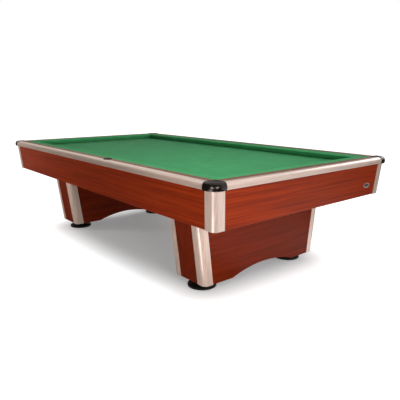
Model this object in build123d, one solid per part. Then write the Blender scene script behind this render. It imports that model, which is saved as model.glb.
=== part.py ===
from build123d import *

import os

# Carom billiard table on two pedestals. Millimetres, +Z up, X along the table.
# The origin is on the floor under the middle of the table.

# Playing field and heights
play_length = 2540
play_width = 1270
bed_height = 738
nose_rise = 38
rail_rise = 45

# Rail section, measured outwards from the cushion nose
cushion_depth = 50
cloth_reach = 80
band_width = 42
trim_width = 40
rail_wall = 6
trim_drop = 38
trim_edge_radius = 20
groove_count = 3
groove_pitch = 5
groove_width = 1.8
groove_depth = 1.2
groove_start = 4.5

# Cushion section
nose_radius = 4
cushion_base_rise = 8
cushion_base_depth = 24
cloth_thickness = 1
feather_width = 9
feather_depth = 8
feather_setback = 1

# Corner caps
cap_proud_side = 5
cap_proud_top = 3
cap_drop = 4
cap_corner_radius = 68
cap_widest_rise = 14
cap_top_inset = 20
cap_bottom_inset = 8
cap_fit = 0.3

# Sights and chalk dish
sight_setback = 93.7
sight_radius = 6
sight_thickness = 2
sight_fit = 0.1
long_rail_spaces = 8
short_rail_spaces = 4
dish_sight = 5
dish_shift = -8
dish_radius = 28
dish_height = 6
dish_rim = 4
dish_floor = 2
dish_edge_radius = 1.5
dish_setback = 108

# Slate bed
slate_gap = 4
slate_thickness = 30
slab_names = ("left", "middle", "right")
cloth_skirt = 45
backing_thickness = 20
backing_width = 80
dowel_radius = 6
dowel_length = 60
dowel_fit = 0.1
dowel_count = 3
dowel_pitch = 500

# Rail bolts
bolt_radius = 5
bolt_hole_fit = 1.5
bolt_thread_fit = 0.1
bolt_head_across = 17
bolt_head_height = 7
washer_radius = 14
washer_thickness = 2.5
bolt_setback = 88
bolt_bite = 27
long_rail_bolts = 6
long_rail_bolt_pitch = 440
short_rail_bolts = 3
short_rail_bolt_pitch = 440

# Beams under the slate
beam_width = 45
beam_height = 140
beam_setback = 20
end_beam_setback = 18

# Aprons and their corner profiles
apron_height = 215
apron_thickness = 20
apron_foot_reach = 125
apron_lean = 16
apron_edge_radius = 3
profile_wall = 3
profile_radius = 28
profile_leg = 71
rail_step_gap = 3

# Pedestals
pedestal_end_setback = 375
pedestal_depth = 306
pedestal_side_setback = 110
pedestal_lean = 62
pedestal_lift = 60
panel_thickness = 22
strip_wall = 3
strip_radius = 34
strip_leg = 68
arch_half_span = 289
arch_rise = 48
top_board_thickness = 22
top_board_gap = 2
pedestal_bolt_reach = 350
pedestal_bolt_bite = 50

# Levelling feet
foot_setback = 106
pad_radius = 93
pad_edge_height = 18
pad_height = 28
pad_edge_round = 8
hub_radius = 30
stem_radius = 10
stem_seat = 14
stem_length = 136
stem_fit = 0.05
collar_across = 30
collar_height = 10
collar_gap = 0.6
nut_plate_size = 90
nut_plate_thickness = 6
nut_barrel_radius = 15
nut_barrel_height = 40
nut_fit = 1
foot_block_width = 120
foot_block_height = 80

# Levels and reaches worked out from the sizes above
rail_top = bed_height + rail_rise
nose_level = bed_height + nose_rise
core_top = rail_top - rail_wall
trim_bottom = rail_top - trim_drop
band_reach = cloth_reach + band_width
rail_reach = band_reach + trim_width
core_reach = rail_reach - rail_wall
slate_top = bed_height - cloth_thickness
skirt_bottom = slate_top - cloth_skirt
slate_bottom = slate_top - slate_thickness
backing_bottom = slate_bottom - backing_thickness
pedestal_top = backing_bottom - beam_height
apron_bottom = trim_bottom - apron_height
apron_inner_at_skirt = (
    apron_foot_reach - apron_thickness + apron_lean * (skirt_bottom - apron_bottom) / apron_height
)
slate_reach = apron_inner_at_skirt - slate_gap - cloth_thickness
rail_step = slate_reach + cloth_thickness + rail_step_gap
cap_reach = rail_reach + cap_proud_side
cap_leg = cap_reach - cloth_reach
slab_count = len(slab_names)
slab_length = (play_length + 2 * slate_reach) / slab_count
slate_half_width = play_width / 2 + slate_reach
beam_middle = play_width / 2 + beam_setback
beam_inner = beam_middle - beam_width / 2
end_beam_middle = play_length / 2 + end_beam_setback
pedestal_middle = play_length / 2 - pedestal_end_setback
pedestal_half_width = play_width / 2 - pedestal_side_setback
foot_half_spacing = pedestal_half_width - foot_setback
pedestal_height = pedestal_top - pedestal_lift
panel_half_depth = pedestal_depth / 2 - strip_wall
panel_foot_half_width = pedestal_half_width - strip_wall
panel_slope = pedestal_lean / pedestal_height
pedestal_beam_step = panel_half_depth - panel_thickness - beam_width

# Spare length on solids that only cut others
cutter_room = 300

# Each side: direction outwards, nose line from the middle, half the length of the nose line
sides = {
    "front": (Vector(0, -1, 0), play_width / 2, play_length / 2),
    "back": (Vector(0, 1, 0), play_width / 2, play_length / 2),
    "left": (Vector(-1, 0, 0), play_length / 2, play_width / 2),
    "right": (Vector(1, 0, 0), play_length / 2, play_width / 2),
}
corners = {
    "front_left": (-1, -1),
    "front_right": (1, -1),
    "back_left": (-1, 1),
    "back_right": (1, 1),
}
ends = {"left": -1, "right": 1}
up = Vector(0, 0, 1)


# Helpers


def outline(*points):
    return make_face(Polyline(*points, close=True))


def patch(low, high):
    """A rectangle given by its lowest and highest corners."""
    size = Vector(*high) - Vector(*low)
    middle = (Vector(*high) + Vector(*low)) / 2
    return Pos(middle.X, middle.Y) * Rectangle(size.X, size.Y)


def block(low, high):
    """A box given by its lowest and highest corners."""
    size = Vector(*high) - Vector(*low)
    middle = (Vector(*high) + Vector(*low)) / 2
    return Pos(middle) * Box(size.X, size.Y, size.Z)


def rounded(sketch, corner, radius):
    vertex = sketch.vertices().sort_by_distance(Vector(*corner))[0]
    return fillet(vertex, radius)


def rod(radius, bottom, top, x=0, y=0):
    return Pos(x, y, (bottom + top) / 2) * Cylinder(radius, top - bottom)


def hexagon(across, bottom, top):
    return Pos(0, 0, bottom) * extrude(RegularPolygon(across / 2, 6, major_radius=False), top - bottom)


def group(shapes):
    return Compound([solid for shape in shapes for solid in shape.solids()])


def at_corner(shape, signs):
    """Mirrors a piece made for the back right corner into another corner."""
    if signs[0] < 0:
        shape = mirror(shape, about=Plane.YZ)
    if signs[1] < 0:
        shape = mirror(shape, about=Plane.XZ)
    return shape


def section_plane(side):
    """Local x runs outwards from the nose line and local y is the height."""
    out, across, _ = sides[side]
    return Plane(origin=out * across, x_dir=out, z_dir=out.cross(up))


def place(side, setback, along):
    """The point on a side at a distance outwards from the nose and along the rail."""
    out, across, _ = sides[side]
    return out * (across + setback) + out.cross(up) * along


def run(section, side, half_length):
    return extrude(section_plane(side) * section, amount=half_length, both=True)


def mitred(section, side):
    """A section run along a side, with its ends cut at 45 degrees."""
    out, across, along = sides[side]
    near, far = -nose_radius, rail_reach + nose_radius
    plan = outline(
        (near, -along - near), (far, -along - far), (far, along + far), (near, along + near)
    )
    wedge = extrude(Plane(origin=out * across, x_dir=out, z_dir=up) * plan, rail_top + cutter_room)
    return run(section, side, along + rail_reach) & wedge


def corner_shell(leg, radius, wall):
    """Plan of a bent corner profile whose outer corner is at the origin."""
    outer = rounded(patch((-leg, -leg), (0, 0)), (0, 0), radius)
    inner = rounded(patch((-2 * leg, -2 * leg), (-wall, -wall)), (-wall, -wall), radius - wall)
    return outer - inner


def leaning(plan, x, y, bottom, lean):
    """A plan drawn at a corner and carried up along a leaning line."""
    return extrude(Pos(x, y, bottom) * plan, amount=lean.length, dir=lean.normalized())


# Rail sections


def wrapped_section():
    """What the cushion cloth is stretched over: the rubber and the inner part of the core."""
    nose = Pos(nose_radius, nose_level) * Circle(nose_radius - cloth_thickness)
    base = bed_height + cushion_base_rise
    top = rail_top - cloth_thickness
    body = outline((cushion_depth - cushion_base_depth, base), (cloth_reach, base), (cloth_reach, top))
    hull = make_hull(nose.edges() + body.edges())
    return hull + patch((cushion_depth, bed_height), (cloth_reach, core_top))


def rubber_section():
    return wrapped_section() & patch((0, 0), (cushion_depth, rail_top))


def cloth_section():
    wrapped = wrapped_section()
    band = offset(wrapped, amount=cloth_thickness) - wrapped
    return band & patch((-nose_radius, bed_height), (cloth_reach, rail_top + cutter_room))


def feather_slot():
    right = cloth_reach - feather_setback
    return patch((right - feather_width, core_top - feather_depth), (right, rail_top))


def core_section():
    inner = wrapped_section() & patch((cushion_depth, 0), (cloth_reach, rail_top))
    outer = outline(
        (cushion_depth, bed_height), (rail_step, bed_height), (rail_step, trim_bottom),
        (core_reach, trim_bottom), (core_reach, core_top), (cushion_depth, core_top),
    )
    outer = rounded(outer, (core_reach, core_top), trim_edge_radius - rail_wall)
    return inner + outer - feather_slot()


def trim_section():
    outer = patch((band_reach, trim_bottom), (rail_reach, rail_top))
    outer = rounded(outer, (rail_reach, rail_top), trim_edge_radius)
    inner = patch((0, 0), (core_reach, core_top))
    inner = rounded(inner, (core_reach, core_top), trim_edge_radius - rail_wall)
    section = outer - inner
    for index in range(groove_count):
        low = trim_bottom + groove_start + index * groove_pitch
        section -= patch((rail_reach - groove_depth, low), (rail_reach + groove_depth, low + groove_width))
    return section


# Places that repeat along a rail


def spread(count, pitch):
    return [(index - (count - 1) / 2) * pitch for index in range(count)]


def bolt_points(side):
    if side in ("front", "back"):
        places = spread(long_rail_bolts, long_rail_bolt_pitch)
    else:
        places = spread(short_rail_bolts, short_rail_bolt_pitch)
    return [place(side, bolt_setback, along) for along in places]


def sight_points(side):
    spaces = long_rail_spaces if side in ("front", "back") else short_rail_spaces
    pitch = 2 * sides[side][2] / spaces
    return [place(side, sight_setback, along) for along in spread(spaces - 1, pitch)]


all_bolts = [point for side in sides for point in bolt_points(side)]
dish_x = spread(long_rail_spaces - 1, play_length / long_rail_spaces)[dish_sight - 1] + dish_shift
dish_y = -play_width / 2 - dish_setback


# Rails


def rail_core(side):
    reach = Vector(play_length, play_width) / 2 + Vector(core_reach, core_reach)
    corner = cap_corner_radius - cap_proud_side - rail_wall
    ring = extrude(RectangleRounded(2 * reach.X, 2 * reach.Y, corner), rail_top + cutter_room)
    core = mitred(core_section(), side) & ring
    for point in bolt_points(side):
        top = bed_height + bolt_bite + bolt_radius
        core -= rod(bolt_radius + bolt_thread_fit, 0, top, point.X, point.Y)
    return core


def wood_band(side):
    half = sides[side][2] + cloth_reach
    band = run(patch((cloth_reach, core_top), (band_reach, rail_top)), side, half)
    pocket = sight_radius + sight_fit
    for point in sight_points(side):
        band -= rod(pocket, rail_top - sight_thickness, rail_top + sight_thickness, point.X, point.Y)
    return band


def rail_trim(side):
    return run(trim_section(), side, sides[side][2] + cloth_reach)


def cap_section():
    """Section of a cap's edge, outwards to zero: two quarter ellipses that meet at the widest level."""
    bottom = trim_bottom - cap_drop
    widest = bottom + cap_widest_rise
    top = rail_top + cap_proud_top

    def quarter(inset, height, start):
        return EllipticalCenterArc((-inset, widest), inset, height, start_angle=start, arc_size=90)

    lower = quarter(cap_bottom_inset, cap_widest_rise, -90)
    upper = quarter(cap_top_inset, top - widest, 0)
    rest = Polyline((-cap_top_inset, top), (-cap_leg, top), (-cap_leg, bottom), (-cap_bottom_inset, bottom))
    return make_face([lower, upper, rest])


def corner_cap():
    """A moulded cap over the mitre of two rails, open below, its edge carried round the corner."""
    section = cap_section()
    straight = cap_leg - cap_corner_radius
    bend = Pos(cap_corner_radius, 0) * section & patch((0, 0), (cap_corner_radius, rail_top + cutter_room))
    body = Pos(-cap_corner_radius, -cap_corner_radius) * revolve(Plane.XZ * bend, Axis.Z, 90)
    body += Pos(-cap_leg, 0) * extrude(Plane.YZ * section, straight)
    body += Pos(0, -cap_corner_radius) * extrude(Plane.XZ * section, straight)
    wall = rail_wall + cap_proud_side - cap_fit
    pocket = patch((-2 * cap_leg, -2 * cap_leg), (-wall, -wall))
    pocket = rounded(pocket, (-wall, -wall), cap_corner_radius - wall)
    cap = body - extrude(pocket, core_top)
    return Pos(play_length / 2 + cap_reach, play_width / 2 + cap_reach) * cap


def sights():
    discs = []
    for side in sides:
        for point in sight_points(side):
            under_dish = abs(point.X - dish_x) < dish_radius and abs(point.Y - dish_y) < dish_radius
            if not under_dish:
                discs.append(rod(sight_radius, rail_top - sight_thickness, rail_top, point.X, point.Y))
    return group(discs)


def chalk_dish():
    profile = outline(
        (0, 0), (dish_radius, 0), (dish_radius, dish_height), (dish_radius - dish_rim, dish_height),
        (dish_radius - 2 * dish_rim, dish_floor), (0, dish_floor),
    )
    profile = rounded(profile, (dish_radius, dish_height), dish_edge_radius)
    return Pos(dish_x, dish_y, rail_top) * revolve(Plane.XZ * profile, Axis.Z)


def bolt(point, seat, tip):
    """A hexagon bolt from below, with its washer against the seat."""
    washer_bottom = seat - washer_thickness
    washer = rod(washer_radius, washer_bottom, seat)
    head = hexagon(bolt_head_across, washer_bottom - bolt_head_height, washer_bottom)
    shank = rod(bolt_radius, washer_bottom, tip)
    return Pos(point.X, point.Y, 0) * (washer + head + shank)


def rail_bolts():
    return group(bolt(point, slate_bottom, bed_height + bolt_bite) for point in all_bolts)


# Slate bed


def slab_joints():
    return [(index + 1 - slab_count / 2) * slab_length for index in range(slab_count - 1)]


def dowel_rod(radius, length, joint, y):
    middle = (slate_top + slate_bottom) / 2
    return Pos(joint, y, middle) * Rot(0, 90, 0) * Cylinder(radius, length)


def slate_slab(index):
    left = (index - slab_count / 2) * slab_length
    slab = block((left, -slate_half_width, slate_bottom), (left + slab_length, slate_half_width, slate_top))
    for point in all_bolts:
        slab -= rod(bolt_radius + bolt_hole_fit, 0, rail_top, point.X, point.Y)
    for joint in slab_joints():
        for y in spread(dowel_count, dowel_pitch):
            slab -= dowel_rod(dowel_radius + dowel_fit, dowel_length + 2 * dowel_fit, joint, y)
    return slab


def slate_dowels():
    places = [(joint, y) for joint in slab_joints() for y in spread(dowel_count, dowel_pitch)]
    return group(dowel_rod(dowel_radius, dowel_length, joint, y) for joint, y in places)


def bed_cloth():
    """A sheet over the slate, turned down over its edges."""
    half_length = slab_length * slab_count / 2
    outer_x = half_length + cloth_thickness
    outer_y = slate_half_width + cloth_thickness
    sheet = block((-outer_x, -outer_y, skirt_bottom), (outer_x, outer_y, bed_height))
    sheet -= block((-half_length, -slate_half_width, 0), (half_length, slate_half_width, slate_top))
    for point in all_bolts:
        sheet -= rod(bolt_radius + bolt_hole_fit, 0, rail_top, point.X, point.Y)
    return sheet


def slate_backing():
    """Wood strips along the slab edges and under the joints."""
    strips = []
    near = beam_middle - backing_width / 2
    far = beam_middle + backing_width / 2
    half_length = end_beam_middle + backing_width / 2
    breaks = [-half_length, *slab_joints(), half_length]
    for left, right in zip(breaks, breaks[1:]):
        for low, high in ((-far, -near), (near, far)):
            strips.append(block((left, low, backing_bottom), (right, high, slate_bottom)))
    for x in (-end_beam_middle, *slab_joints(), end_beam_middle):
        left, right = x - backing_width / 2, x + backing_width / 2
        strips.append(block((left, -near, backing_bottom), (right, near, slate_bottom)))
    return group(strips)


# Cabinet


def cross_beam_places():
    pedestal = [
        sign * pedestal_middle + step
        for sign in ends.values()
        for step in (-pedestal_beam_step, pedestal_beam_step)
    ]
    return [-end_beam_middle, *slab_joints(), end_beam_middle, *pedestal]


def long_beams():
    half_length = end_beam_middle + beam_width / 2
    beams = []
    for y in (-beam_middle, beam_middle):
        low, high = y - beam_width / 2, y + beam_width / 2
        beams.append(block((-half_length, low, pedestal_top), (half_length, high, backing_bottom)))
    return group(beams)


def pedestal_bolt_points(sign):
    return [
        Vector(sign * pedestal_middle + step, y)
        for step in (-pedestal_beam_step, pedestal_beam_step)
        for y in (-pedestal_bolt_reach, pedestal_bolt_reach)
    ]


def cross_beams():
    beams = []
    for x in cross_beam_places():
        left, right = x - beam_width / 2, x + beam_width / 2
        beam = block((left, -beam_inner, pedestal_top), (right, beam_inner, backing_bottom))
        for sign in ends.values():
            for point in pedestal_bolt_points(sign):
                top = pedestal_top + pedestal_bolt_bite + bolt_radius
                beam -= rod(bolt_radius + bolt_thread_fit, 0, top, point.X, point.Y)
        beams.append(beam)
    return group(beams)


def apron(side):
    """A panel that leans outwards, its ends leaning with the corner profiles."""
    out, across, along = sides[side]
    foot, head = apron_foot_reach, apron_foot_reach + apron_lean
    section = outline(
        (foot - apron_thickness, apron_bottom), (foot, apron_bottom), (head, trim_bottom),
        (head - apron_thickness, trim_bottom),
    )
    section = rounded(section, (foot, apron_bottom), apron_edge_radius)
    low = along + foot + profile_wall - profile_radius
    high = low + apron_lean
    face = outline((-low, apron_bottom), (low, apron_bottom), (high, trim_bottom), (-high, trim_bottom))
    ends_cut = extrude(Plane(origin=out * across, x_dir=up.cross(out), z_dir=out) * face, amount=cutter_room)
    return run(section, side, along + rail_reach) & ends_cut


def apron_corner():
    plan = corner_shell(profile_leg, profile_radius, profile_wall)
    reach = apron_foot_reach + profile_wall
    lean = Vector(apron_lean, apron_lean, apron_height)
    return leaning(plan, play_length / 2 + reach, play_width / 2 + reach, apron_bottom, lean)


# Pedestals


def panel_half_width(level):
    return panel_foot_half_width + panel_slope * (level - pedestal_lift)


def pedestal_face(sign, step):
    """A wide face with the arch cut from its foot; step is -1 for the inner face and 1 for the outer."""
    foot = panel_half_width(pedestal_lift) - strip_radius + strip_wall
    head = foot + pedestal_lean
    face = outline((-foot, pedestal_lift), (foot, pedestal_lift), (head, pedestal_top), (-head, pedestal_top))
    arch_radius = (arch_half_span**2 + arch_rise**2) / (2 * arch_rise)
    face -= Pos(0, pedestal_lift + arch_rise - arch_radius) * Circle(arch_radius)
    middle = sign * (pedestal_middle + step * (panel_half_depth - panel_thickness / 2))
    return Pos(middle, 0, 0) * extrude(Plane.YZ * face, panel_thickness / 2, both=True)


def pedestal_sides():
    panels = []
    half_depth = panel_half_depth - strip_radius + strip_wall
    foot, head = panel_half_width(pedestal_lift), panel_half_width(pedestal_top)
    for y_sign in (-1, 1):
        face = outline(
            (y_sign * (foot - panel_thickness), pedestal_lift), (y_sign * foot, pedestal_lift),
            (y_sign * head, pedestal_top), (y_sign * (head - panel_thickness), pedestal_top),
        )
        for sign in ends.values():
            panels.append(Pos(sign * pedestal_middle, 0, 0) * extrude(Plane.YZ * face, half_depth, both=True))
    return group(panels)


def pedestal_strips(sign):
    plan = corner_shell(strip_leg, strip_radius, strip_wall)
    lean = Vector(0, pedestal_lean, pedestal_height)
    strip = leaning(plan, pedestal_depth / 2, pedestal_half_width, pedestal_lift, lean)
    return group(Pos(sign * pedestal_middle, 0, 0) * at_corner(strip, signs) for signs in corners.values())


def pedestal_tops():
    boards = []
    bottom = pedestal_top - top_board_thickness
    half_depth = panel_half_depth - panel_thickness
    half_width = panel_half_width(bottom) - panel_thickness - top_board_gap
    for sign in ends.values():
        x = sign * pedestal_middle
        board = block((x - half_depth, -half_width, bottom), (x + half_depth, half_width, pedestal_top))
        for point in pedestal_bolt_points(sign):
            board -= rod(bolt_radius + bolt_hole_fit, 0, rail_top, point.X, point.Y)
        boards.append(board)
    return group(boards)


def pedestal_bolts():
    seat, tip = pedestal_top - top_board_thickness, pedestal_top + pedestal_bolt_bite
    points = [point for sign in ends.values() for point in pedestal_bolt_points(sign)]
    return group(bolt(point, seat, tip) for point in points)


# Levelling feet


def foot_block():
    bottom = pedestal_lift + nut_plate_thickness
    half_depth = panel_half_depth - panel_thickness
    half_width = foot_block_width / 2
    wood = block((-half_depth, -half_width, bottom), (half_depth, half_width, bottom + foot_block_height))
    return wood - rod(nut_barrel_radius + nut_fit, 0, rail_top)


def foot_nut():
    plate_top = pedestal_lift + nut_plate_thickness
    half = nut_plate_size / 2
    plate = block((-half, -half, pedestal_lift), (half, half, plate_top))
    barrel = rod(nut_barrel_radius, pedestal_lift, plate_top + nut_barrel_height)
    return plate + barrel - rod(stem_radius + stem_fit, 0, rail_top)


def foot_pad():
    profile = outline(
        (0, 0), (pad_radius, 0), (pad_radius, pad_edge_height), (hub_radius, pad_height), (0, pad_height)
    )
    profile = rounded(profile, (pad_radius, pad_edge_height), pad_edge_round)
    profile = rounded(profile, (pad_radius, 0), pad_edge_round / 2)
    pad = revolve(Plane.XZ * profile, Axis.Z)
    return pad - rod(stem_radius + stem_fit, stem_seat, rail_top)


def foot_stem():
    collar_bottom = pad_height + collar_gap
    collar = hexagon(collar_across, collar_bottom, collar_bottom + collar_height)
    return rod(stem_radius, stem_seat, stem_seat + stem_length) + collar


def at_foot(shape, signs):
    return Pos(signs[0] * pedestal_middle, signs[1] * foot_half_spacing, 0) * shape


# All pieces by name

pieces = {
    "slate_dowels": slate_dowels(),
    "slate_backing": slate_backing(),
    "bed_cloth": bed_cloth(),
    "cushion_rubbers": group(mitred(rubber_section(), side) for side in sides),
    "feather_strips": group(mitred(wrapped_section() & feather_slot(), side) for side in sides),
    "sights": sights(),
    "chalk_dish": chalk_dish(),
    "rail_bolts": rail_bolts(),
    "long_beams": long_beams(),
    "cross_beams": cross_beams(),
    "pedestal_sides": pedestal_sides(),
    "pedestal_tops": pedestal_tops(),
    "pedestal_bolts": pedestal_bolts(),
    "foot_blocks": group(at_foot(foot_block(), signs) for signs in corners.values()),
    "foot_nuts": group(at_foot(foot_nut(), signs) for signs in corners.values()),
}
for index, name in enumerate(slab_names):
    pieces["slate_" + name] = slate_slab(index)
for side in sides:
    pieces["rail_core_" + side] = rail_core(side)
    pieces["cushion_cloth_" + side] = mitred(cloth_section(), side)
    pieces["wood_band_" + side] = wood_band(side)
    pieces["rail_trim_" + side] = rail_trim(side)
    pieces["apron_" + side] = apron(side)
for corner, signs in corners.items():
    pieces["corner_cap_" + corner] = at_corner(corner_cap(), signs)
    pieces["apron_corner_" + corner] = at_corner(apron_corner(), signs)
    pieces["foot_pad_" + corner] = at_foot(foot_pad(), signs)
    pieces["foot_stem_" + corner] = at_foot(foot_stem(), signs)
for end, sign in ends.items():
    pieces["pedestal_outer_panel_" + end] = pedestal_face(sign, 1)
    pieces["pedestal_inner_panel_" + end] = pedestal_face(sign, -1)
    pieces["pedestal_strips_" + end] = pedestal_strips(sign)

os.makedirs("parts", exist_ok=True)
for name, shape in pieces.items():
    export_step(shape, f"parts/{name}.step")
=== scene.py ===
import math

import bmesh
import bpy
from mathutils import Matrix, Vector


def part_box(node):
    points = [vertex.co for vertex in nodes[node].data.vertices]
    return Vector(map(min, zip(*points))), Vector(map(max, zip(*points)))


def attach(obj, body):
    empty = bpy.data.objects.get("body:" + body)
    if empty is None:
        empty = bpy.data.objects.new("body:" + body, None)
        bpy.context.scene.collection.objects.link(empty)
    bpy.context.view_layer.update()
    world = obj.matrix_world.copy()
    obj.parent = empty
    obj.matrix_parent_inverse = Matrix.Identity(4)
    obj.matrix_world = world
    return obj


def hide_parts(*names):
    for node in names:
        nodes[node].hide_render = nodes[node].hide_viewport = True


# A carom billiard table. Metres, +Z up, X along the table, the origin on the floor under its middle.
# Angles that are written as plain numbers are degrees.
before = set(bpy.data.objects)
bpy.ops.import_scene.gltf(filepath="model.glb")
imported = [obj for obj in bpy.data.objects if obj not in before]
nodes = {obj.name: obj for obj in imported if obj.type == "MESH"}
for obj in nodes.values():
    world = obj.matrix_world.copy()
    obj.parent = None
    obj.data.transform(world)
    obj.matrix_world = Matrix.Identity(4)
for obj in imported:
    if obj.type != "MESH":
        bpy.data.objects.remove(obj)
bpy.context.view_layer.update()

# Levels and lines read from the frame
bed_low, bed_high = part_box("bed_cloth")
cushion_low, cushion_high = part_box("cushion_cloth_front")
end_cushion_low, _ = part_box("cushion_cloth_right")
apron_low, apron_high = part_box("apron_right")
_, pedestal_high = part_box("pedestal_outer_panel_right")
bed_level = bed_high.z
rail_level = cushion_high.z
nose_y = -cushion_high.y
nose_x = end_cushion_low.x
cloth_reach = cushion_high.y - cushion_low.y
rail_rise = rail_level - bed_level

# Cushion section, outwards from the nose line and up from the bed
nose_radius = 0.004
nose_rise = 0.038
nose_steps = 14
base_rise = 0.007
base_setback = 0.026
core_setback = 0.049
tuck_radius = 0.0015
tuck_steps = 4
base_radius = 0.002
base_steps = 3
cloth_thickness = 0.001
mitre_gap = 0.0002

# Bed cloth
bed_corner_radius = 0.004
bed_edge_radius = 0.002
bed_edge_steps = 4

# Weave of the cloth
thread_pitch = 0.0009

# Blank plate on the right apron
apron_thickness = 0.020
plate_half_length = 0.034
plate_half_height = 0.0165
plate_y = 0.599
plate_z = 0.603
plate_rim = 0.004
plate_rim_height = 0.0022
plate_steps = 48

# Rings of the plate from its edge inwards: the inset in rim widths and the height in rim heights
plate_rings = ((0, 0), (0, 0.7), (0.2, 1), (0.7, 1), (1, 0.5), (2, 0.6), (3, 0.7))

# Floor, with a well under each foot and a painted shadow: its glow stays low under the table and fades up to
# white round the pedestals
floor_half_size = 14.0
floor_corner_radius = 1.0
floor_grey = 0.8
# Painted shadow: the floor's glow under the table, its inset from the pedestals' outer faces and the width of
# its fade
painted_shadow_glow = 0.19
painted_shadow_inset = 0.14
painted_shadow_fade = 0.44
well_gap = 0.0002
well_depth = 0.026
well_steps = 48

# Studio sweep round the left of the table, which brightens between two reaches along its bright way
card_half_x = 4.0
card_half_y = 2.8
card_height = 3.0
card_foot = 0.22
card_lift = 0.01
card_start = -3
card_end = -310
card_steps = 24
card_bright_way = (-1.0, 0.3, 0)
card_fade = (2.75, 3.5)
card_colour = (1.0, 0.86, 0.75, 1)

# Pane behind the table, at its right end
window_place = Vector((1.45, 1.9, 1.8))
window_width = 1.4
window_height = 1.4

# Lamps at the near corner, and their panes at a share of the way from the cap
near_corner = Vector((1.4, -0.75, 0.7))
near_left_place = Vector((1.97, -2.24, 0.88))
near_right_place = Vector((2.92, -1.24, 1.03))
near_light_width = 0.55
near_light_height = 0.5
near_cap_place = Vector((1.43, -0.79, 0.765))
pane_share = 0.18

# Pool of light on the floor
pool_middle = Vector((1.12, -0.62, 0.015))
pool_start = -85
pool_end = -57
pool_steps = 4
pool_reach = (0.12, 1.75)

# Camera
camera_place = Vector((2.953, -2.1405, 1.1706))
camera_azimuth = math.radians(50.364)
camera_fall = math.radians(12.814)
camera_lens = 40.05
camera_sensor = 36.0


# Mesh helpers


def new_piece(name, mesh_maker, sharp_angle=35):
    """A piece whose mesh is filled by a function that takes a bmesh."""
    mesh = bpy.data.meshes.new(name)
    work = bmesh.new()
    mesh_maker(work)
    bmesh.ops.recalc_face_normals(work, faces=work.faces)
    for face in work.faces:
        face.smooth = True
    work.to_mesh(mesh)
    work.free()
    mesh.set_sharp_from_angle(angle=math.radians(sharp_angle))
    piece = bpy.data.objects.new(name, mesh)
    bpy.context.scene.collection.objects.link(piece)
    return piece


def add_ring(work, points):
    """Vertices at points, in their order."""
    return [work.verts.new(point) for point in points]


def bridge(work, first, second):
    """Quads between two closed rings of as many points."""
    for index in range(len(first)):
        after = (index + 1) % len(first)
        work.faces.new((first[index], first[after], second[after], second[index]))


def close_skin(work, rings):
    """Quads from ring to ring, with the first and the last filled."""
    for first, second in zip(rings, rings[1:]):
        bridge(work, first, second)
    work.faces.new(rings[0])
    work.faces.new(rings[-1])


def oval_arc(middle, half_x, half_y, start, end, steps):
    """Points in a plane on an arc of an oval."""
    points = []
    for step in range(steps + 1):
        angle = math.radians(start + (end - start) * step / steps)
        points.append(Vector((middle[0] + half_x * math.cos(angle), middle[1] + half_y * math.sin(angle))))
    return points


def arc(middle, radius, start, end, steps):
    """Points in a plane on an arc of a circle."""
    return oval_arc(middle, radius, radius, start, end, steps)


def at_level(points, z):
    """Points of a plane, set at a height."""
    return [Vector((*point, z)) for point in points]


def inward(points, distance):
    """A line beside an open line, on its left-hand side."""
    moved = []
    for index, point in enumerate(points):
        before = points[max(index - 1, 0)]
        after = points[min(index + 1, len(points) - 1)]
        along = (after - before).normalized()
        moved.append(point + Vector((-along.y, along.x)) * distance)
    return moved


# Cushion cloths


def tangent_angle(middle, radius, point, side):
    """Where the line from a point touches a circle, in degrees."""
    away = Vector(point) - Vector(middle)
    return math.degrees(math.atan2(away.y, away.x) + side * math.acos(radius / away.length))


def cushion_line():
    """The cloth from its tuck at the wood band, over the nose and down to the bed."""
    nose = (nose_radius, nose_rise)
    tuck = (cloth_reach - tuck_radius, rail_rise - tuck_radius)
    base = (base_setback, base_rise + base_radius)
    heel = (core_setback - base_radius, base_rise - base_radius)
    upper = tangent_angle(nose, nose_radius, (cloth_reach, rail_rise), 1)
    lower = tangent_angle(nose, nose_radius, (base_setback, base_rise), -1) + 360
    line = [Vector((cloth_reach, rail_rise - 2 * tuck_radius))]
    line += arc(tuck, tuck_radius, 0, upper, tuck_steps)
    line += arc(nose, nose_radius, upper, lower, nose_steps)
    line += arc(base, base_radius, lower, 270, base_steps)
    line += arc(heel, base_radius, 90, 0, base_steps)
    line.append(Vector((core_setback, 0)))
    return line


def cushion_cloth(side, out, across, along):
    """One cloth wrapped over a cushion, mitred at both ends.

    Its nose line lies across from the middle of the field, on the out side, and reaches along both ways.
    """
    outer = cushion_line()
    section = outer + inward(outer, cloth_thickness)[::-1]
    run = out.cross(Vector((0, 0, 1)))

    def fill(work):
        ends = []
        for sign in (-1, 1):
            ring = []
            for point in section:
                reach = along + point.x - mitre_gap
                height = Vector((0, 0, bed_level + point.y))
                ring.append(out * (across + point.x) + run * sign * reach + height)
            ends.append(add_ring(work, ring))
        bridge(work, *ends)
        for ring in ends:
            for index in range(len(outer) - 1):
                inner = len(section) - 1 - index
                work.faces.new((ring[index], ring[index + 1], ring[inner - 1], ring[inner]))

    piece = new_piece("cushion_cover_" + side, fill)
    node = "cushion_cloth_" + side
    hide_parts(node)
    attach(piece, "table")
    return piece


# Bed cloth


def rounded_ring(half_x, half_y, radius, z, steps=4):
    """A rectangle with rounded corners, at a height."""
    points = []
    for sign_x, sign_y, start in ((1, 1, 0), (-1, 1, 90), (-1, -1, 180), (1, -1, 270)):
        middle = (sign_x * (half_x - radius), sign_y * (half_y - radius))
        points += arc(middle, radius, start, start + 90, steps)
    return at_level(points, z)


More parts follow.
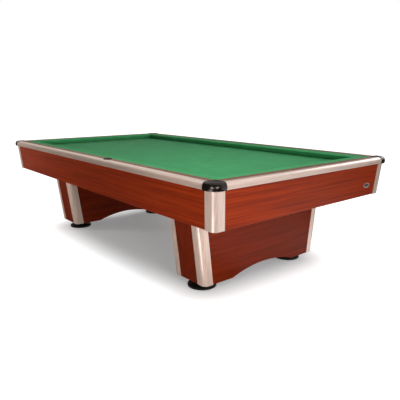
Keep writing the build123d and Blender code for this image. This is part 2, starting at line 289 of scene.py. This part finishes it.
def bed_cover():
    """The sheet over the slate, turned down over its edges."""
    half_x, half_y = bed_high.x, bed_high.y

    def rings(shrink):
        level = bed_level - shrink
        turn = bed_edge_radius - shrink
        found = []
        for point in arc((0, 0), turn, 90, 0, bed_edge_steps):
            inset = shrink + turn - point.x
            corner = bed_corner_radius - inset
            found.append(rounded_ring(half_x - inset, half_y - inset, corner, level - turn + point.y))
        found.append(rounded_ring(half_x - shrink, half_y - shrink, bed_corner_radius - shrink, bed_low.z))
        return found

    def fill(work):
        close_skin(work, [add_ring(work, points) for points in rings(0) + rings(cloth_thickness)[::-1]])

    piece = new_piece("bed_cover", fill)
    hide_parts("bed_cloth")
    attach(piece, "table")
    return piece


# Blank plate


def blank_plate(rim_metal, face_metal):
    """An oval plate with a raised rim and a slightly domed face, flat on the leaning right apron."""

    def fill(work):
        rings = []
        for inset, height in plate_rings:
            half_length = plate_half_length - inset * plate_rim
            half_height = plate_half_height - inset * plate_rim
            outline = oval_arc((0, 0), half_length, half_height, 0, 360, plate_steps)[:-1]
            rings.append(add_ring(work, at_level(outline, height * plate_rim_height)))
        close_skin(work, rings)

    plate = new_piece("blank_plate", fill)
    plate.data.materials.append(rim_metal)
    plate.data.materials.append(face_metal)
    # The face inside the rim has the second metal
    for polygon in plate.data.polygons:
        x, y, _ = polygon.center
        share = math.hypot(x / (plate_half_length - plate_rim), y / (plate_half_height - plate_rim))
        polygon.material_index = 1 if share < 1 else 0
    lean = (apron_high.x - apron_low.x - apron_thickness) / (apron_high.z - apron_low.z)
    face_x = apron_high.x - lean * (apron_high.z - plate_z)
    up_face = Vector((lean, 0, 1)).normalized()
    along_face = Vector((0, 1, 0))
    out_face = along_face.cross(up_face)
    turn = Matrix((along_face, up_face, out_face)).transposed().to_4x4()
    plate.data.transform(Matrix.Translation((face_x, plate_y, plate_z)) @ turn)
    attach(plate, "table")


# Node helpers


def add_node(tree, kind, inputs=None, **settings):
    """A node with its settings, its inputs set or linked."""
    node = tree.nodes.new(kind)
    for key, value in settings.items():
        setattr(node, key, value)
    for key, value in (inputs or {}).items():
        if isinstance(value, bpy.types.NodeSocket):
            tree.links.new(value, node.inputs[key])
        else:
            node.inputs[key].default_value = value
    return node


def new_material(name, sockets):
    """A material with numbers set on its shader."""
    material = bpy.data.materials.new(name)
    material.use_nodes = True
    shader = material.node_tree.nodes["Principled BSDF"]
    for key, value in sockets.items():
        shader.inputs[key].default_value = value
    return material, material.node_tree, shader


def bare_material(name):
    """A material without a shader, and the input that takes one."""
    material = bpy.data.materials.new(name)
    material.use_nodes = True
    tree = material.node_tree
    tree.nodes.remove(tree.nodes["Principled BSDF"])
    return material, tree, tree.nodes["Material Output"].inputs["Surface"]


def grey(level):
    """A linear grey."""
    return (level, level, level, 1)


def paint(level):
    """A colour given as red, green and blue from 0 to 255 on screen, by the standard screen curve."""
    linear = []
    for part in level:
        share = part / 255
        linear.append(share / 12.92 if share <= 0.04045 else ((share + 0.055) / 1.055) ** 2.4)
    return (*linear, 1)


def place_of(tree):
    """Coordinates on the object, in metres."""
    return add_node(tree, "ShaderNodeTexCoord").outputs["Object"]


def stretched(tree, along, across_scale):
    """Coordinates pressed together across a direction, so that noise draws out along it."""
    scale = [across_scale] * 3
    scale["XYZ".index(along)] = 1
    return add_node(tree, "ShaderNodeMapping", {"Vector": place_of(tree), "Scale": scale}).outputs["Vector"]


def noise(tree, place, scale, detail=3, rough=0.5):
    """Soft noise from 0 to 1."""
    inputs = {"Vector": place, "Scale": scale, "Detail": detail, "Roughness": rough}
    return add_node(tree, "ShaderNodeTexNoise", inputs).outputs["Fac"]


def ramp(tree, factor, *stops):
    """A colour ramp with stops of place and colour."""
    node = add_node(tree, "ShaderNodeValToRGB", {"Fac": factor})
    elements = node.color_ramp.elements
    while len(elements) < len(stops):
        elements.new(0.5)
    for element, (place, colour) in zip(elements, stops):
        element.position = place
        element.color = colour
    return node.outputs["Color"]


def mix(tree, factor, first, second, blend="MIX"):
    """A mix of two colours, which are sockets 6 and 7 of its node, with the result at 2."""
    inputs = {0: factor, 6: first, 7: second}
    return add_node(tree, "ShaderNodeMix", inputs, data_type="RGBA", blend_type=blend).outputs[2]


def ranged(tree, value, low, high, from_low=0.0, from_high=1.0, curve="LINEAR"):
    """A value moved from one range to another."""
    inputs = {"Value": value, "To Min": low, "To Max": high, "From Min": from_low, "From Max": from_high}
    return add_node(tree, "ShaderNodeMapRange", inputs, interpolation_type=curve).outputs["Result"]


def number_math(tree, operation, first, second):
    """A calculation on two numbers."""
    return add_node(tree, "ShaderNodeMath", {0: first, 1: second}, operation=operation).outputs[0]


def vector_math(tree, operation, *values):
    """A calculation on one or two vectors, as the outputs of its node."""
    return add_node(tree, "ShaderNodeVectorMath", dict(enumerate(values)), operation=operation).outputs


def emission(tree, colour, strength):
    """A glow of a colour and a strength."""
    return add_node(tree, "ShaderNodeEmission", {"Color": colour, "Strength": strength}).outputs[0]


def set_bump(tree, shader, height, distance, strength):
    """Gives a shader a relief from a height, with its depth in metres."""
    bump = add_node(tree, "ShaderNodeBump", {"Height": height, "Distance": distance, "Strength": strength})
    tree.links.new(bump.outputs["Normal"], shader.inputs["Normal"])


# Materials


def wood(name, along, dark, middle, light, gloss=0.34, lacquer=0.09):
    """Satin ribbon-striped veneer: long stripes, fine lines and short pores along the grain."""
    material, tree, shader = new_material(name, {"Specular IOR Level": lacquer})
    stripes = noise(tree, stretched(tree, along, 45), scale=1.8)
    fine = noise(tree, stretched(tree, along, 60), scale=6, detail=4, rough=0.6)
    pores = noise(tree, stretched(tree, along, 25), scale=60, detail=2)
    colour = ramp(tree, stripes, (0.34, paint(dark)), (0.52, paint(middle)), (0.68, paint(light)))
    colour = mix(tree, 0.4, colour, ramp(tree, fine, (0.32, grey(0.55)), (0.6, grey(1))), "MULTIPLY")
    open_pores = ramp(tree, pores, (0.3, grey(0.45)), (0.4, grey(1)))
    colour = mix(tree, 0.4, colour, open_pores, "MULTIPLY")
    tree.links.new(colour, shader.inputs["Base Color"])
    tree.links.new(ranged(tree, fine, gloss + 0.08, gloss - 0.05), shader.inputs["Roughness"])
    set_bump(tree, shader, open_pores, distance=0.00004, strength=0.5)
    return material


def aluminium(name, along, level=1.0):
    """Matt anodised extrusion with fine drawing lines along its length. A level above 1 paints the tone
    lighter, as painted light.
    """
    tone = Vector((0.59, 0.428, 0.352)) * level
    low, high = (*tone * 0.94, 1), (*tone * 1.06, 1)
    sockets = {"Metallic": 0.15, "Coat Weight": 1.0, "Coat Roughness": 0.3, "Coat IOR": 1.8}
    material, tree, shader = new_material(name, sockets)
    lines = noise(tree, stretched(tree, along, 60), scale=30, detail=4, rough=0.7)
    streaks = noise(tree, stretched(tree, along, 60), scale=2.4, rough=0.6)
    cloud = noise(tree, stretched(tree, along, 4), scale=5)
    colour = ramp(tree, lines, (0.3, low), (0.7, high))
    colour = mix(tree, 0.6, colour, ramp(tree, streaks, (0.36, grey(0.68)), (0.6, grey(1))), "MULTIPLY")
    tree.links.new(colour, shader.inputs["Base Color"])
    tree.links.new(ranged(tree, cloud, 0.4, 0.46, 0.3, 0.7), shader.inputs["Roughness"])
    set_bump(tree, shader, lines, distance=0.00002, strength=0.2)
    return material


def nickel():
    """Dull dark nickel, a little lighter where it is rubbed."""
    material, tree, shader = new_material("dark_nickel", {"Metallic": 0.6})
    cloud = noise(tree, place_of(tree), scale=90, detail=4, rough=0.6)
    colour = ramp(tree, cloud, (0.3, (0.05, 0.04, 0.03, 1)), (0.7, (0.1, 0.08, 0.06, 1)))
    tree.links.new(colour, shader.inputs["Base Color"])
    tree.links.new(ranged(tree, cloud, 0.34, 0.48), shader.inputs["Roughness"])
    return material


def steel():
    """Bare steel with faint clouds."""
    material, tree, shader = new_material("steel", {"Metallic": 1.0})
    cloud = noise(tree, place_of(tree), scale=60, detail=4, rough=0.6)
    tree.links.new(ramp(tree, cloud, (0.3, grey(0.36)), (0.7, grey(0.52))), shader.inputs["Base Color"])
    tree.links.new(ranged(tree, cloud, 0.3, 0.48), shader.inputs["Roughness"])
    set_bump(tree, shader, cloud, distance=0.00005, strength=0.3)
    return material


def moulded(name, level, rough, grain_scale, specular):
    """Moulded plastic with a fine spark-eroded grain, and a warm tint on its specular that paints the warm
    reflections of the room.
    """
    # Painted reflection colour: a warm tint on the specular
    painted_warm_reflection = (1.0, 0.84, 0.76, 1)
    material, tree, shader = new_material(name, {"Specular IOR Level": specular, "Specular Tint": painted_warm_reflection})
    grain = noise(tree, place_of(tree), grain_scale, detail=2)
    cloud = noise(tree, place_of(tree), scale=14)
    low, high = [part * 0.85 for part in level], [part * 1.15 for part in level]
    tree.links.new(ramp(tree, cloud, (0.3, paint(low)), (0.7, paint(high))), shader.inputs["Base Color"])
    tree.links.new(ranged(tree, cloud, rough - 0.04, rough + 0.05, 0.3, 0.7), shader.inputs["Roughness"])
    set_bump(tree, shader, grain, distance=0.00006, strength=0.35)
    return material


def cloth():
    """Worsted billiard cloth: a fine weave under a short nap."""
    sockets = {"Roughness": 0.92, "Specular IOR Level": 0.03, "Sheen Weight": 0.03, "Sheen Roughness": 0.5}
    material, tree, shader = new_material("green_cloth", sockets)
    place = place_of(tree)
    # The wave texture turns by 20 radians over a metre at a scale of 1
    wave_turn = 20
    wave_scale = 2 * math.pi / thread_pitch / wave_turn
    waves = []
    for direction in "XY":
        inputs = {"Vector": place, "Scale": wave_scale, "Distortion": 0.6, "Detail": 1.0, "Detail Scale": 2.0}
        wave = add_node(tree, "ShaderNodeTexWave", inputs, bands_direction=direction)
        waves.append(wave.outputs["Fac"])
    weave = mix(tree, 1.0, *waves, "MULTIPLY")
    nap = noise(tree, place, scale=900, detail=2, rough=0.6)
    mottle = noise(tree, place, scale=9, detail=4, rough=0.6)
    colour = ramp(tree, mottle, (0.3, paint((68, 153, 97))), (0.7, paint((75, 163, 105))))
    colour = mix(tree, 0.18, colour, ramp(tree, weave, (0.0, grey(0.6)), (0.6, grey(1))), "MULTIPLY")
    colour = mix(tree, 0.25, colour, ramp(tree, nap, (0.35, grey(0.7)), (0.6, grey(1))), "MULTIPLY")
    tree.links.new(colour, shader.inputs["Base Color"])
    set_bump(tree, shader, mix(tree, 0.5, weave, nap), distance=0.0002, strength=0.3)
    return material


def slate():
    """Grey slate in thin layers."""
    material, tree, shader = new_material("slate", {"Roughness": 0.75})
    layers = noise(tree, stretched(tree, "X", 3), scale=12, detail=6, rough=0.65)
    colour = ramp(tree, layers, (0.3, paint((52, 55, 60))), (0.7, paint((86, 90, 95))))
    tree.links.new(colour, shader.inputs["Base Color"])
    set_bump(tree, shader, layers, distance=0.0004, strength=0.4)
    return material


def rubber():
    """Tan cushion rubber."""
    material, tree, shader = new_material("cushion_rubber", {"Roughness": 0.8})
    cloud = noise(tree, place_of(tree), scale=80, rough=0.6)
    colour = ramp(tree, cloud, (0.3, paint((120, 92, 62))), (0.7, paint((142, 112, 80))))
    tree.links.new(colour, shader.inputs["Base Color"])
    set_bump(tree, shader, cloud, distance=0.0003, strength=0.3)
    return material


def sight_material():
    """Dark matt inlay."""
    material, tree, shader = new_material("sight", {"Roughness": 0.6, "Specular IOR Level": 0.0})
    cloud = noise(tree, place_of(tree), scale=160, rough=0.6)
    colour = ramp(tree, cloud, (0.3, paint((22, 14, 12))), (0.7, paint((34, 22, 19))))
    tree.links.new(colour, shader.inputs["Base Color"])
    return material


def dress_frame(steel_grey):
    """Gives the CAD nodes their finishes."""
    red = {"dark": (123, 35, 6), "middle": (143, 44, 8), "light": (156, 51, 10)}
    brown = {"dark": (105, 31, 7), "middle": (119, 36, 9), "light": (130, 41, 11)}
    band = {"dark": (102, 62, 46), "middle": (114, 71, 54), "light": (123, 79, 61)}
    pale = {"dark": (150, 112, 70), "middle": (186, 148, 100), "light": (206, 172, 124)}
    aprons = {axis: wood("apron_wood_" + axis, axis, **red) for axis in "XY"}
    pedestals = {axis: wood("pedestal_wood_" + axis, axis, **brown) for axis in "YZ"}
    bands = {axis: wood("band_wood_" + axis, axis, **band, gloss=0.5, lacquer=0.3) for axis in "XY"}
    timbers = {axis: wood("timber_" + axis, axis, **pale, gloss=0.6) for axis in "XY"}
    metals = {axis: aluminium("aluminium_" + axis, axis) for axis in "XYZ"}
    # The pedestal strips: the same aluminium painted 1.4 times lighter, painted light where the lamps reach
    # them less
    strip_metal_painted_lighter = aluminium("strip_aluminium_painted_lighter", "Z", level=1.4)
    cap_plastic = moulded("cap_plastic", (10, 8, 7), rough=0.22, grain_scale=700, specular=0.45)
    foot_plastic = moulded("foot_plastic", (14, 14, 14), rough=0.5, grain_scale=500, specular=0.35)
    slate_grey = slate()
    finishes = {
        "slate_left": slate_grey, "slate_middle": slate_grey, "slate_right": slate_grey,
        "slate_dowels": steel_grey, "rail_bolts": steel_grey, "pedestal_bolts": steel_grey,
        "foot_nuts": steel_grey, "slate_backing": timbers["X"], "feather_strips": timbers["X"],
        "long_beams": timbers["X"], "cross_beams": timbers["Y"], "pedestal_tops": timbers["Y"],
        "foot_blocks": timbers["X"], "cushion_rubbers": rubber(), "sights": sight_material(),
        "chalk_dish": cap_plastic, "pedestal_sides": pedestals["Z"],
    }
    for side, axis in (("front", "X"), ("back", "X"), ("left", "Y"), ("right", "Y")):
        finishes["rail_core_" + side] = timbers[axis]
        finishes["wood_band_" + side] = bands[axis]
        finishes["rail_trim_" + side] = metals[axis]
        finishes["apron_" + side] = aprons[axis]
    for corner in ("front_left", "front_right", "back_left", "back_right"):
        finishes["corner_cap_" + corner] = cap_plastic
        finishes["apron_corner_" + corner] = metals["Z"]
        finishes["foot_pad_" + corner] = foot_plastic
        finishes["foot_stem_" + corner] = steel_grey
    for end in ("left", "right"):
        finishes["pedestal_outer_panel_" + end] = pedestals["Y"]
        finishes["pedestal_inner_panel_" + end] = pedestals["Y"]
        finishes["pedestal_strips_" + end] = strip_metal_painted_lighter
    for name, node in nodes.items():
        if name in finishes:
            node.data.materials.clear()
            node.data.materials.append(finishes[name])


# Stage


def seen_directly(tree):
    """1 for rays from the camera and for reflected or transmitted ones."""
    rays = add_node(tree, "ShaderNodeLightPath").outputs
    shown = number_math(tree, "MAXIMUM", rays["Is Camera Ray"], rays["Is Glossy Ray"])
    return number_math(tree, "MAXIMUM", shown, rays["Is Transmission Ray"])


def white_world(ambient):
    """A world that looks white and lights the table at a lower level."""
    world = bpy.data.worlds.new("studio")
    bpy.context.scene.world = world
    world.use_nodes = True
    tree = world.node_tree
    background = tree.nodes["Background"]
    background.inputs["Color"].default_value = grey(1)
    strength = ranged(tree, seen_directly(tree), ambient, 1.0)
    tree.links.new(strength, background.inputs["Strength"])


def glossy_only(stage_piece):
    """Lets only reflections see a piece of the stage."""
    stage_piece.visible_camera = False
    stage_piece.visible_diffuse = False
    stage_piece.visible_transmission = False
    stage_piece.visible_shadow = False


def card_glow(dim, bright):
    """A glow that grows towards the bright end of the card."""
    material, tree, surface = bare_material("card_grey")
    reach = vector_math(tree, "DOT_PRODUCT", place_of(tree), card_bright_way)["Value"]
    level = ranged(tree, reach, dim, bright, *card_fade)
    tree.links.new(emission(tree, card_colour, level), surface)
    return material


def reflection_card(dim, bright):
    """A grey studio sweep bent round the left of the table, seen in reflections alone."""

    def line(share, z):
        half_x, half_y = share * card_half_x, share * card_half_y
        return at_level(oval_arc((0, 0), half_x, half_y, card_start, card_end, card_steps), z)

    def fill(work):
        lines = [line(card_foot, card_lift), line(1, card_lift), line(1, card_height)]
        made = [add_ring(work, points) for points in lines]
        for low, high in zip(made, made[1:]):
            for index in range(card_steps):
                work.faces.new((low[index], low[index + 1], high[index + 1], high[index]))

    card = new_piece("reflection_card", fill)
    card.data.materials.append(card_glow(dim, bright))
    glossy_only(card)


def bright_patch(name, corners, level):
    """A flat patch of light, seen in reflections alone."""

    def fill(work):
        work.faces.new(add_ring(work, corners))

    patch = new_piece(name, fill)
    material, tree, surface = bare_material(name)
    tree.links.new(emission(tree, grey(1), level), surface)
    patch.data.materials.append(material)
    glossy_only(patch)


def bright_pane(name, middle, aside, rise, level):
    """A bright patch with four corners, from its middle, half its width and half its height."""
    corners = [middle - aside - rise, middle + aside - rise, middle + aside + rise, middle - aside + rise]
    bright_patch(name, corners, level)


def back_window(level):
    """A bright pane behind the table, at its right end."""
    aside = Vector((window_width / 2, 0, 0))
    rise = Vector((0, 0, window_height / 2))
    bright_pane("back_window", window_place, aside, rise, level)


def near_pane(name, lamp_place, level):
    """A small upright pane close to the near cap, as large as the lamp behind it looks from the cap."""
    towards = lamp_place - near_cap_place
    aside = towards.cross(Vector((0, 0, 1))).normalized() * pane_share * near_light_width / 2
    rise = Vector((0, 0, pane_share * near_light_height / 2))
    bright_pane(name, near_cap_place + towards * pane_share, aside, rise, level)


def light_pool(level):
    """A pool of light on the floor in front of the near corner."""
    near, far = [arc(pool_middle, radius, pool_start, pool_end, pool_steps) for radius in pool_reach]
    bright_patch("light_pool", at_level(near + far[::-1], pool_middle.z), level)


def foot_wells():
    """The middle and the radius of the well under each foot."""
    wells = []
    for name in nodes:
        if name.startswith("foot_pad_"):
            low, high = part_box(name)
            wells.append(((low + high) / 2, (high.x - low.x) / 2 + well_gap))
    return wells


def floor_finish():
    """A pale finish that keeps the real shadow under the table, paints more shadow there as a dimmer glow,
    and turns to plain white around it.
    """
    material, tree, surface = bare_material("floor_white_painted_shadow")
    diffuse = add_node(tree, "ShaderNodeBsdfDiffuse", {"Color": grey(floor_grey)}).outputs[0]
    painted_shadow_half = (pedestal_high.x - painted_shadow_inset, pedestal_high.y - painted_shadow_inset, 0)
    place = vector_math(tree, "ABSOLUTE", place_of(tree))["Vector"]
    beyond = vector_math(tree, "SUBTRACT", place, painted_shadow_half)["Vector"]
    beyond = vector_math(tree, "MAXIMUM", beyond, (0, 0, 0))["Vector"]
    distance = vector_math(tree, "LENGTH", beyond)["Value"]
    # The glow is low inside the box and rises to white beyond it: a painted shadow
    glow = ranged(tree, distance, painted_shadow_glow, 1.0, 0.0, painted_shadow_fade, "SMOOTHSTEP")
    shown = number_math(tree, "MULTIPLY", glow, seen_directly(tree))
    both = add_node(tree, "ShaderNodeAddShader", {0: diffuse, 1: emission(tree, grey(1), shown)})
    tree.links.new(both.outputs[0], surface)
    return material


def white_floor():
    """The floor, where a shallow well under each foot shows its pad when it is screwed out."""

    def fill(work):
        outline = rounded_ring(floor_half_size, floor_half_size, floor_corner_radius, 0)
        rings = [add_ring(work, outline)]
        for middle, radius in foot_wells():
            rim = arc(middle, radius, 0, 360, well_steps)[:-1]
            rings.append(add_ring(work, at_level(rim, 0)))
        edges = [work.edges.new(pair) for ring in rings for pair in zip(ring, ring[1:] + ring[:1])]
        bmesh.ops.triangle_fill(work, use_beauty=True, edges=edges)
        for rim in rings[1:]:
            foot = add_ring(work, [vertex.co - Vector((0, 0, well_depth)) for vertex in rim])
            bridge(work, rim, foot)
            work.faces.new(foot)

    floor = new_piece("floor", fill)
    floor.data.materials.append(floor_finish())


# Lights and camera


def soft_light(name, place, target, size, radiance, spread=180):
    """A rectangular lamp turned to a target, with the brightness of its face."""
    width, height = size
    lamp = bpy.data.lights.new(name, "AREA")
    lamp.shape = "RECTANGLE"
    lamp.size = width
    lamp.size_y = height
    lamp.energy = radiance * math.pi * width * height
    lamp.spread = math.radians(spread)
    holder = bpy.data.objects.new(name, lamp)
    holder.location = place
    holder.rotation_euler = (Vector(target) - Vector(place)).to_track_quat("-Z", "Y").to_euler()
    holder.visible_camera = False
    bpy.context.scene.collection.objects.link(holder)
    return holder


def distant_light(name, azimuth, elevation, spread, strength):
    """A far soft light, its place given as a compass angle from +X and a height angle."""
    lamp = bpy.data.lights.new(name, "SUN")
    lamp.angle = math.radians(spread)
    lamp.energy = strength * math.pi
    holder = bpy.data.objects.new(name, lamp)
    level = math.cos(math.radians(elevation))
    towards = Vector((
        level * math.cos(math.radians(azimuth)), level * math.sin(math.radians(azimuth)),
        math.sin(math.radians(elevation)),
    ))
    holder.rotation_euler = towards.to_track_quat("Z", "Y").to_euler()
    bpy.context.scene.collection.objects.link(holder)
    return holder


def add_lights():
    """The lamps. All but the low one stay out of reflections."""
    near_size = (near_light_width, near_light_height)
    unreflected = [
        distant_light("right_light", azimuth=14, elevation=13, spread=20, strength=0.3),
        distant_light("back_light", azimuth=145, elevation=20, spread=30, strength=0.16),
        soft_light(
            "over_light", place=(1.4, -0.8, 2.9), target=(0.6, -0.5, 0.74), size=(1.2, 1.2), radiance=7.2,
        ),
        soft_light(
            "long_light", place=(3.0, 0.2, 2.0), target=(-1.2, 0.0, 0.75), size=(0.6, 0.4), radiance=1.0,
            spread=40,
        ),
        soft_light(
            "far_left_light", place=(-1.85, -1.9, 0.8), target=(-1.4, -0.75, 0.5), size=(0.4, 0.4),
            radiance=20.0,
        ),
        soft_light("near_left_light", near_left_place, near_corner, near_size, radiance=15.0),
        soft_light("near_right_light", near_right_place, near_corner, near_size, radiance=14.8),
    ]
    for light in unreflected:
        light.visible_glossy = False
    soft_light(
        "low_left_light", place=(-0.75, -2.4, 0.3), target=(-0.6, -0.6, 0.3), size=(0.4, 0.4), radiance=0.9,
        spread=50,
    )


def add_camera():
    """The camera. Its azimuth turns from +Y towards -X, and it looks down by its fall."""
    camera = bpy.data.cameras.new("camera")
    camera.lens = camera_lens
    camera.sensor_width = camera_sensor
    holder = bpy.data.objects.new("camera", camera)
    level = math.cos(camera_fall)
    look = Vector((
        -math.sin(camera_azimuth) * level, math.cos(camera_azimuth) * level, -math.sin(camera_fall),
    ))
    holder.location = camera_place
    holder.rotation_euler = look.to_track_quat("-Z", "Y").to_euler()
    bpy.context.scene.collection.objects.link(holder)
    bpy.context.scene.camera = holder


# The whole scene

steel_grey = steel()
dress_frame(steel_grey)
green = cloth()
covers = [
    bed_cover(),
    cushion_cloth("front", Vector((0, -1, 0)), nose_y, nose_x),
    cushion_cloth("back", Vector((0, 1, 0)), nose_y, nose_x),
    cushion_cloth("left", Vector((-1, 0, 0)), nose_x, nose_y),
    cushion_cloth("right", Vector((1, 0, 0)), nose_x, nose_y),
]
for cover in covers:
    cover.data.materials.append(green)
blank_plate(steel_grey, nickel())

white_world(ambient=0.22)
white_floor()
reflection_card(dim=0.08, bright=0.75)
back_window(level=3.5)
light_pool(level=6.2)
near_pane("near_left_pane", near_left_place, level=16.0)
near_pane("near_right_pane", near_right_place, level=14.8)
add_lights()
add_camera()
bpy.context.scene.view_settings.view_transform = "Standard"
